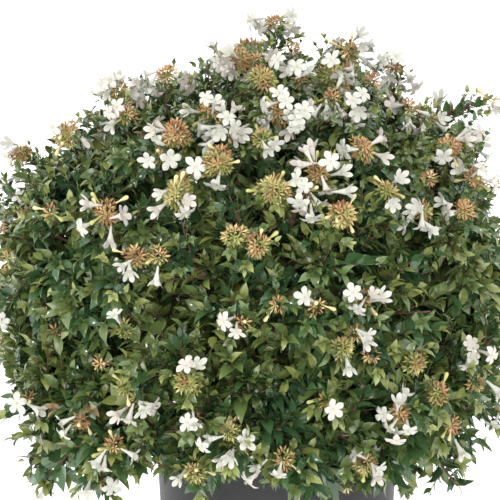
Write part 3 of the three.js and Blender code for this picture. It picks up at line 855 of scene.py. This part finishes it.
def ring_faces(rings, sides, first=0):
    """Triangles of a tube through rings of vertices."""
    triangles = []
    for low in range(first, first + (rings - 1) * sides, sides):
        for i in range(sides):
            j = (i + 1) % sides
            upper_i, upper_j = low + sides + i, low + sides + j
            triangles += [(upper_i, low + i, low + j), (upper_i, low + j, upper_j)]
    return triangles


# The blossom and the leaves

OUTLINE = ((0, 0), (0.12, 0.135), (0.34, 0.24), (0.62, 0.20), (0.86, 0.078), (1.0, 0))
INNER_OUTLINE = ((0, 0), (0.3, 0.26), (0.68, 0.2), (1.0, 0))
# Leaf shapes: how far the tip droops, how steeply the halves fold up, and the outline.
LEAF_SHAPES = (
    (0.10, 0.26, OUTLINE),
    (0.22, 0.18, OUTLINE),
    (0.04, 0.42, OUTLINE),
    (0.12, 0.26, INNER_OUTLINE),
)
LEAF_ARCH = 0.10
LEAF_SHINE = 0.55
LEAF_MATERIALS = (
    ("leaf_deep", (50, 75, 46), 0.12),
    ("leaf_dark", (61, 88, 51), 0.12),
    ("leaf_green", (85, 101, 55), 0.17),
    ("leaf_fresh", (110, 119, 62), 0.26),
    ("leaf_lime", (128, 137, 78), 0.4),
    ("leaf_bronze", (116, 96, 62), 0.42),
)
# The first three are the warm kinds and the others the cool ones.
SEPAL_MATERIALS = (
    ("sepal_copper", (160, 120, 80), 0.5),
    ("sepal_tan", (174, 146, 98), 0.5),
    ("sepal_rust", (144, 98, 68), 0.5),
    ("sepal_olive", (124, 124, 66), 0.5),
    ("sepal_lime", (138, 142, 74), 0.5),
    ("sepal_pale", (166, 158, 100), 0.5),
)
# A sepal's blade is a narrow kite, folded along its middle. Five of them lean out by an angle.
SEPAL_BLADE = ((0, 0, 0), (0.6, 0.145, 0.07), (1.0, 0, 0.10), (0.6, -0.145, 0.07))
SEPALS = 5
SEPAL_LEAN = 0.80
FLOWER_MATERIALS = (
    ("petal_white", (174, 174, 165), 0.6),
    ("petal_blush", (178, 172, 164), 0.6),
    ("stamen_cream", (196, 190, 158), 0.6),
)
STAMEN_KIND = 2
# A flower is a funnel with five lobes, each on two steps of its last ring.
FUNNEL = ((0.0, 0.045), (0.36, 0.08), (0.71, 0.17))
FUNNEL_SIDES = 10
THROAT = 0.65
LOBE_CROWN = 0.015
# The lobes of a spread, a half-open and a bent-back flower: three steps (distance from the axis, half
# width, x) and the tip's distance and x.
COROLLAS = (
    (((0.25, 0.150, 0.75), (0.35, 0.155, 0.79), (0.43, 0.098, 0.80)), (0.49, 0.78)),
    (((0.22, 0.135, 0.81), (0.29, 0.140, 0.91), (0.35, 0.090, 0.98)), (0.39, 1.03)),
    (((0.25, 0.150, 0.73), (0.37, 0.160, 0.72), (0.45, 0.100, 0.67)), (0.51, 0.61)),
)
# How far out each of the five lobes stands, beside an even one, and how far forward.
LOBES_UNEVEN = ((1.0, 0.0), (1.13, 0.05), (0.88, -0.04), (1.06, -0.06), (0.94, 0.06))
# A stamen's foot and head: x, distance from the axis, and radius.
STAMEN = ((0.64, 0.02, 0.008), (0.90, 0.06, 0.012))
STAMENS = 4
BUD_MATERIALS = (("bud_cream", (200, 184, 134), 0.55), ("bud_green", (166, 164, 100), 0.55))
BUD_PROFILE = ((0.0, 0.045), (0.4, 0.06), (0.7, 0.13), (0.86, 0.15), (0.97, 0.09))
BUD_SIDES = 6
TWIG_MATERIALS = (("twig_bark", (86, 57, 42), 0.65), ("twig_green", (104, 104, 58), 0.55))


def leaf_shape(droop, fold, outline):
    """A pointed leaf of length 1, folded along its midrib and curved down."""
    stations = []
    for x, half in outline:
        middle = LEAF_ARCH * sin(pi * x) - droop * x * x
        stations.append((x, half, middle, middle + fold * half))
    return strip(stations)


def leaf_pieces(masses):
    materials = plain(LEAF_MATERIALS, Specular_IOR_Level=LEAF_SHINE)
    for mass in masses:
        rows = np.concatenate(leaf_rows[mass.name])
        parts = []
        for kind, values in enumerate(LEAF_SHAPES):
            parts.append(planted(rows[rows[:, SHAPE] == kind], leaf_shape(*values))[0])
        piece = foliage_piece(f"leaves_{mass.name}", parts, materials)
        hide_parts(f"foliage_{mass.name}")


def calyx_shape():
    """A star of five cupped sepals, in lengths of one sepal."""
    blade = np.array(SEPAL_BLADE)
    along = np.array([cos(SEPAL_LEAN), sin(SEPAL_LEAN), 0])
    inner = np.cross(along, UP)
    leant = blade[:, :1] * along + blade[:, 1:2] * UP - blade[:, 2:3] * inner
    stars = [turned(leant, 2 * pi * i / SEPALS, 1, 2) for i in range(SEPALS)]
    return joined([part_of(star, [(0, 2, 1), (0, 3, 2)]) for star in stars])[:2]


def corolla_shape(outline, lobe_tip):
    """A funnel of about length 1 with five rounded lobes."""
    vertices = rings_of(FUNNEL, FUNNEL_SIDES)
    triangles = ring_faces(len(FUNNEL), FUNNEL_SIDES)
    # The face has a ring of its own, so that the light falls on it apart from the funnel.
    rim = len(vertices)
    vertices += rings_of(FUNNEL[-1:], FUNNEL_SIDES)
    for lobe, (further, forward) in enumerate(LOBES_UNEVEN):
        points = []
        for step, (out, half, x) in enumerate(outline):
            for side in (-1, 0, 1):
                crown = LOBE_CROWN if side == 0 else 0.0
                points.append((x + crown + forward * step / len(outline), out * further, side * half))
        points.append((lobe_tip[1] + forward, lobe_tip[0] * further, 0))
        start = len(vertices)
        vertices += list(turned(np.array(points), 2 * pi * (2 * lobe + 1) / FUNNEL_SIDES, 1, 2))
        a, b, c = rim + 2 * lobe, rim + 2 * lobe + 1, rim + (2 * lobe + 2) % FUNNEL_SIDES
        triangles += [(a, start, start + 1), (a, start + 1, b), (b, start + 1, c), (c, start + 1, start + 2)]
        for s in (start, start + 3):
            triangles += [(s, s + 3, s + 4), (s, s + 4, s + 1), (s + 1, s + 4, s + 5), (s + 1, s + 5, s + 2)]
        s = start + 6
        triangles += [(s, s + 3, s + 1), (s + 1, s + 3, s + 2)]
    throat = len(vertices)
    vertices.append((THROAT, 0, 0))
    triangles += [(rim + (k + 1) % FUNNEL_SIDES, throat, rim + k) for k in range(FUNNEL_SIDES)]
    return vertices, triangles


def stamen_shape():
    """Thin filaments that stand out of the throat."""
    vertices, triangles = [], []
    for i in range(STAMENS):
        angle = pi * (0.25 + 0.5 * i)
        away = np.array([0, cos(angle), sin(angle)])
        start = len(vertices)
        for x, out, radius in STAMEN:
            vertices += [point + away * out for point in ring_of(x, radius, 3)]
        triangles += ring_faces(2, 3, start)
        triangles.append((start + 3, start + 4, start + 5))
    return vertices, triangles


def bud_shape():
    """A club-shaped bud of length 1."""
    vertices = rings_of(BUD_PROFILE, BUD_SIDES)
    triangles = ring_faces(len(BUD_PROFILE), BUD_SIDES)
    tip = len(vertices)
    last = tip - BUD_SIDES
    vertices.append((1.0, 0, 0))
    triangles += [(last + (i + 1) % BUD_SIDES, tip, last + i) for i in range(BUD_SIDES)]
    return vertices, triangles


def blossom_pieces():
    sepals, _ = planted(np.concatenate(calyx_rows), calyx_shape())
    foliage_piece("sepals", [sepals], plain(SEPAL_MATERIALS))
    flowers = np.array(flower_rows)
    flowers[:, SIZE] *= FLOWER
    parts = []
    for kind, (outline, lobe_tip) in enumerate(COROLLAS):
        part, rows = planted(flowers[flowers[:, SHAPE] == kind], corolla_shape(outline, lobe_tip))
        rows[:, TINT] = STAMEN_KIND
        parts += [part, planted(rows, stamen_shape())[0]]
    foliage_piece("corollas", parts, plain(FLOWER_MATERIALS))
    buds = np.array(bud_rows)
    buds[:, SIZE] *= BUD
    foliage_piece("buds", [planted(buds, bud_shape())[0]], plain(BUD_MATERIALS))


def tube(curve, root_radius, tip_radius, sides, rings):
    """A tapering tube along a curve, with a closed tip."""
    shares = np.linspace(0, 1, rings)
    points, along = on_curve(curve, shares), heading(curve, shares)
    side, face = frame_for(along, TUBE_FACE)
    radii = root_radius + (tip_radius - root_radius) * shares
    angles = 2 * pi * np.arange(sides) / sides
    ring = side[:, None] * np.cos(angles)[None, :, None] + face[:, None] * np.sin(angles)[None, :, None]
    vertices = (points[:, None] + ring * radii[:, None, None]).reshape(-1, 3)
    i = np.arange(sides)
    j = (i + 1) % sides
    base = (np.arange(rings - 1) * sides)[:, None]
    a, b, c, d = base + i, base + j, base + sides + j, base + sides + i
    halves = [np.stack(corners, -1).reshape(-1, 3) for corners in ((a, b, c), (a, c, d))]
    last = (rings - 1) * sides
    cap = np.array([(last, last + k, last + k + 1) for k in range(1, sides - 1)])
    return vertices, np.concatenate([*halves, cap])


def twig_piece():
    parts = []
    for row in tube_rows:
        vertices, triangles = tube(*row)
        if allowed(vertices[None])[0]:
            parts.append(part_of(vertices, triangles, int(row[3] == GREEN_SIDES)))
    foliage_piece("twigs", parts, plain(TWIG_MATERIALS))


# Mottled materials. Their bumps have a strength and a depth.

MOTTLED = {
    "bark": Values(
        colour=(112, 82, 62), roughness=0.85, rough=None, shine=0.5, stretch=(1, 1, 0.25),
        spots={"Scale": 420, "Detail": 6}, grain=None, bump=(0.6, 0.0008),
        places=(0.36, 0.66), colours=((74, 50, 38), (150, 118, 92)),
    ),
    "pot_plastic": Values(
        colour=(34, 32, 35), roughness=0.45, rough=(0.42, 0.62), shine=0.3, stretch=(1, 1, 1),
        spots={"Scale": 22, "Detail": 8, "Roughness": 0.7}, grain={"Scale": 900, "Detail": 2},
        bump=(0.25, 0.0002), places=(0.35, 0.75), colours=((29, 28, 30), (41, 39, 41)),
    ),
    "potting_mix_chips": Values(
        colour=(64, 44, 30), roughness=0.95, rough=None, shine=0.5, stretch=(1, 1, 1),
        spots={"Scale": 160, "Detail": 7}, grain=None, bump=(0.8, 0.0015),
        places=(0.38, 0.68), colours=((36, 25, 18), (106, 74, 50)),
    ),
}


def mottled(name):
    """A material whose colour follows the noise of its spots, with a bump from it or from its grain."""
    look = MOTTLED[name]
    even = {"Base_Color": linear(*look.colour), "Roughness": look.roughness}
    material, tree, principled = shader(name, Specular_IOR_Level=look.shine, **even)

    def add(kind, **inputs):
        return fill_sockets(tree, tree.nodes.new("ShaderNode" + kind), inputs).outputs

    at = add("Mapping", Vector=add("TexCoord")["Object"], Scale=look.stretch)["Vector"]
    spots = add("TexNoise", Vector=at, **look.spots)["Fac"]
    ramp = tree.nodes.new("ShaderNodeValToRGB")
    for element, place, colour in zip(ramp.color_ramp.elements, look.places, look.colours):
        element.position = place
        element.color = linear(*colour)
    fill_sockets(tree, ramp, {"Fac": spots})
    relief = add("TexNoise", Vector=at, **look.grain)["Fac"] if look.grain else spots
    normal = add("Bump", Height=relief, Strength=look.bump[0], Distance=look.bump[1])["Normal"]
    fill_sockets(tree, principled, {"Base Color": ramp.outputs["Color"], "Normal": normal})
    if look.rough:
        result = add("MapRange", Value=spots, To_Min=look.rough[0], To_Max=look.rough[1])["Result"]
        fill_sockets(tree, principled, {"Roughness": result})
    return material


# The main stem and the boughs, with the relief of their bark

BARK = Values(round=1.3, along=26, waves=((2.6, 1), (6.5, 0.5)))
# The rings and sides of the stem's mesh and of a bough's, and the depth of the bark's ridges.
STEM_MESH = (26, 40, 0.0011)
BOUGH_MESH = (24, 14, 0.0005)


def bark_relief(angle, along):
    """Shallow lengthwise ridges, for an angle round a limb and a length along it."""
    around = BARK.round
    place = Vector((cos(angle) * around, sin(angle) * around, along * BARK.along))
    return waves(place, BARK.waves)


def limb_with_bark(points, along, radius_at, sides, depth):
    """A closed limb through points, whose radius is a function of ring and angle."""
    side, face = frame_for(along, np.array([0.0, 1.0, 0.0]))
    travelled = np.concatenate([[0], np.cumsum(norm(np.diff(points, axis=0), axis=1))])
    vertices = []
    for r, point in enumerate(points):
        for k in range(sides):
            angle = 2 * pi * k / sides
            radius = radius_at(r, angle) + depth * bark_relief(angle, travelled[r])
            vertices.append(point + radius * (cos(angle) * side[r] + sin(angle) * face[r]))
    triangles = ring_faces(len(points), sides)
    low, high = len(vertices), len(vertices) + 1
    last = low - sides
    vertices += [points[0], points[-1]]
    for k in range(sides):
        j = (k + 1) % sides
        triangles += [(low, j, k), (high, last + k, last + j)]
    return part_of(vertices, triangles)


def woody_piece(masses):
    rings, sides, depth = STEM_MESH
    shares = np.linspace(0, 1, rings)
    points = np.array([stem_axis(share) for share in shares])

    def stem_radius(ring, angle):
        flare = (1 - shares[ring]) ** 3
        lobe = 1 + STEM.lobe_depth * flare * cos(STEM.lobes * angle)
        return (STEM.top_radius + (STEM.foot_radius - STEM.top_radius) * flare) * lobe

    parts = [limb_with_bark(points, np.tile(UP, (rings, 1)), stem_radius, sides, depth)]
    rings, sides, depth = BOUGH_MESH
    steps = np.linspace(0, 1, rings)
    for mass in masses:
        curve, thick = mass.curve, mass.thick

        def bough_radius(ring, angle, thick=thick):
            return thick + (BOUGH.tip_radius - thick) * ring / (rings - 1)

        points, along = on_curve(curve, steps), heading(curve, steps)
        parts.append(limb_with_bark(points, along, bough_radius, sides, depth))
    piece = make_piece("woody_limbs", joined(parts), [mottled("bark")])
    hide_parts("main_stem", *[f"bough_{mass.name}" for mass in masses])


# The pot and the mix in it

POT_SIDES = 120
DRAIN_SIDES = 24
SHARP = 35  # degrees
# Bark chips on the mix: how far out they lie, in its radii, how deep or proud, and more.
CHIPS = Values(count=700, out=0.96, height=(-0.001, 0.002), length=(0.004, 0.012), tilt=0.3)
CHIP_HALVES = (0.5, 0.25, 0.1)  # of its length, width and thickness, in lengths
CHIP_TAPER = 0.7  # at every third corner
CHIP_FACES = (
    (0, 1, 3), (0, 3, 2), (4, 6, 7), (4, 7, 5), (0, 4, 5), (0, 5, 1),
    (2, 3, 7), (2, 7, 6), (0, 2, 6), (0, 6, 4), (1, 5, 7), (1, 7, 3),
)
# The crumbs on the mix's top: scales and heights of their noise, and where they are.
CRUMBS = Values(waves=((90, 0.0022), (260, 0.0012)), lower=0.001, below_edge=0.001, within=0.995)
MIX_RINGS = 40
MIX_SIDES = 96
INNERMOST = 0.02  # the last ring before the middle, as a share of the mix's radius


def lathe(profile, sides):
    """Turns a profile of (radius, height) points round +Z. Those at radius 0 become single points."""
    vertices, rows = [], []
    angles = 2 * pi * np.arange(sides) / sides
    for radius, height in profile:
        if radius == 0:
            rows.append([len(vertices)] * sides)
            vertices.append((0, 0, height))
        else:
            rows.append(list(range(len(vertices), len(vertices) + sides)))
            vertices += [(radius * cos(a), radius * sin(a), height) for a in angles]
    triangles = []
    for lower, upper in zip(rows, rows[1:]):
        for k in range(sides):
            j = (k + 1) % sides
            for triangle in ((lower[k], lower[j], upper[j]), (lower[k], upper[j], upper[k])):
                if len(set(triangle)) == 3:
                    triangles.append(triangle)
    return part_of(vertices, triangles)


def arc(centre, radius, start, stop, steps):
    """Points of an arc in the profile's plane, angles in degrees."""
    angles = np.radians(np.linspace(start, stop, steps))
    return [(centre[0] + radius * cos(a), centre[1] + radius * sin(a)) for a in angles]


def inner_radius(height):
    share = height / POT.height
    return POT.base_radius + (POT.shoulder_radius - POT.base_radius) * share - POT.wall


def pot_profile():
    """From the middle of the underside, up the outside, and down the inside to the floor's middle."""
    base, shoulder, rim = POT.base_radius, POT.shoulder_radius, POT.rim_radius
    top, floor, edge = POT.height, POT.floor, POT.wall / 2
    band_foot = top - POT.band_height
    inner_foot = inner_radius(floor)
    hollow, foot, corner = 0.0022, 0.0016, 0.004
    ring_start, ring_stop = base - 0.017, base - 0.013
    return [
        (0, hollow),
        (ring_start, hollow),
        *arc((ring_stop, foot), foot, 180, 270, 4),
        *arc((base - corner, corner), corner, 270, 356, 6),
        (base + 0.0006, 0.012),
        (base + 0.0002, 0.0135),
        (shoulder - 0.0004, band_foot - 0.012),
        (shoulder, band_foot),
        *arc((rim - edge, band_foot + edge), edge, 270, 360, 5),
        (rim - 0.0004, top - 0.0085),
        (rim - 0.0001, top - 0.0075),
        *arc((rim - edge, top - edge), edge, 0, 90, 5),
        *arc((inner_radius(top) + edge, top - edge), edge, 90, 180, 5),
        (inner_foot, floor + 0.001),
        (inner_foot - 0.003, floor),
        (0, floor),
    ]


def drain_cutters():
    """Rods where the drain holes are."""
    radius, reach = DRAIN.radius, DRAIN.length / 2
    rod, faces, _ = lathe([(0, -reach), (radius, -reach), (radius, reach), (0, reach)], DRAIN_SIDES)
    laid = rod[:, [0, 2, 1]] + np.array([0, POT.base_radius, DRAIN.centre_height])
    turns = [2 * pi * i / DRAIN.count for i in range(DRAIN.count)]
    return joined([part_of(turned(laid, turn, 0, 1), faces[:, ::-1]) for turn in turns])


def pot_piece():
    piece = make_piece("nursery_pot", lathe(pot_profile(), POT_SIDES), [mottled("pot_plastic")])
    cutter = make_piece("drain_cutter", drain_cutters(), [])
    modifier = piece.modifiers.new("drains", "BOOLEAN")
    modifier.operation = "DIFFERENCE"
    modifier.solver = "EXACT"
    modifier.object = cutter
    bpy.context.view_layer.update()
    cut = bpy.data.meshes.new_from_object(piece.evaluated_get(bpy.context.evaluated_depsgraph_get()))
    piece.modifiers.clear()
    piece.data = cut
    bpy.data.objects.remove(cutter)
    cut.set_sharp_from_angle(angle=radians(SHARP))
    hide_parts("pot")


def chips_on(rim):
    """Bark chips that lie on the mix."""
    count, tilt = CHIPS.count, CHIPS.tilt
    spread = rim * CHIPS.out * np.sqrt(rng.random(count))
    turn = between(0, 2 * pi, count)
    height = MIX.top - MIX.edge_drop * (spread / rim) ** 3 + between(*CHIPS.height, count)
    along = [jitter(1, count), jitter(1, count), jitter(tilt, count)]
    faces_to = np.tile(UP, (count, 1)) + jitter(tilt, (count, 3))
    places = [spread * np.cos(turn), spread * np.sin(turn), height]
    rows = np.column_stack([*places, *along, faces_to, between(*CHIPS.length, count), np.zeros(count)])
    x, y, z = CHIP_HALVES
    corners = np.array([(i, j, k) for i in (-x, x) for j in (-y, y) for k in (-z, z)])
    corners[::3] *= CHIP_TAPER
    return planted(rows, (corners, CHIP_FACES), anywhere=True)[0]


def mix_piece():
    """The mix with a crumbly top, and bark chips lying on it."""
    foot = POT.floor + TOUCH
    edge = MIX.top - MIX.edge_drop
    rim = inner_radius(edge) - TOUCH
    shares = np.linspace(1, INNERMOST, MIX_RINGS)
    top = [(rim * share, MIX.top - MIX.edge_drop * share**3) for share in shares]
    profile = [(0, foot), (inner_radius(foot) - TOUCH, foot), *top, (0, MIX.top)]
    vertices, triangles, kinds = lathe(profile, MIX_SIDES)
    spoke = np.hypot(vertices[:, 0], vertices[:, 1])
    crumbly = (vertices[:, 2] > edge - CRUMBS.below_edge) & (spoke < rim * CRUMBS.within)
    for i in np.nonzero(crumbly)[0]:
        vertices[i, 2] += waves(Vector(vertices[i]), CRUMBS.waves) - CRUMBS.lower
    part = joined([(vertices, triangles, kinds), chips_on(rim)])
    piece = make_piece("mix_and_chips", part, [mottled("potting_mix_chips")], smooth=False)
    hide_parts("potting_mix")


# The studio

FLOOR = Values(radius=60.0, height=-0.0006, sides=96, grey=0.93, roughness=0.9, glow=0.3)
WORLD_LIGHT = 1.7
LIGHTS_TARGET = (-0.02, 0, 0.40)
# Each light's name, place, size and watts.
SOFTBOXES = (
    ("key", (-1.2, -1.9, 2.2), 0.45, 21),
    ("fill", (1.9, -1.3, 1.1), 1.6, 5),
    ("front", (0.1, -2.8, 0.55), 1.6, 33),
    ("left", (-2.2, 0.2, 0.7), 1.2, 13),
)
SENSOR = 36  # millimetres across the picture
CLIP_END = 500
WHITE = (1, 1, 1, 1)


def floor_piece():
    grey = (FLOOR.grey, FLOOR.grey, FLOOR.grey, 1)
    glow = {"Emission_Color": WHITE, "Emission_Strength": FLOOR.glow}
    material = shader("floor_white", Base_Color=grey, Roughness=FLOOR.roughness, **glow)[0]
    part = lathe([(FLOOR.radius, FLOOR.height), (0, FLOOR.height)], FLOOR.sides)
    new_object("floor", part, [material], smooth=False)


def aim(thing, target):
    direction = Vector(target) - thing.location
    thing.rotation_euler = direction.to_track_quat("-Z", "Y").to_euler()


def studio():
    world = bpy.data.worlds.new("studio")
    world.use_nodes = True
    background = world.node_tree.nodes["Background"]
    fill_sockets(world.node_tree, background, {"Color": WHITE, "Strength": WORLD_LIGHT})
    scene.world = world
    for name, place, size, watts in SOFTBOXES:
        light = bpy.data.lights.new(name, "AREA")
        light.shape = "SQUARE"
        light.size = size
        light.energy = watts
        lamp = bpy.data.objects.new(name, light)
        lamp.location = place
        aim(lamp, LIGHTS_TARGET)
        scene.collection.objects.link(lamp)
    scene.view_settings.view_transform = "Standard"


def camera():
    """The photograph's view."""
    lens = bpy.data.cameras.new("camera")
    lens.sensor_width = SENSOR
    lens.lens = SENSOR / 2 / HALF_WIDTH
    lens.clip_end = CLIP_END
    eye = bpy.data.objects.new("camera", lens)
    eye.location = Vector(EYE)
    aim(eye, VIEW.target)
    scene.collection.objects.link(eye)
    scene.camera = eye


masses = []
for ring_name, values in RINGS.items():
    masses += masses_of(ring_name, Values(**dict(zip(RING_KEYS, values))))

grow(masses)
leaf_pieces(masses)
blossom_pieces()
twig_piece()
woody_piece(masses)
pot_piece()
mix_piece()
floor_piece()
studio()
camera()

bpy.context.view_layer.update()
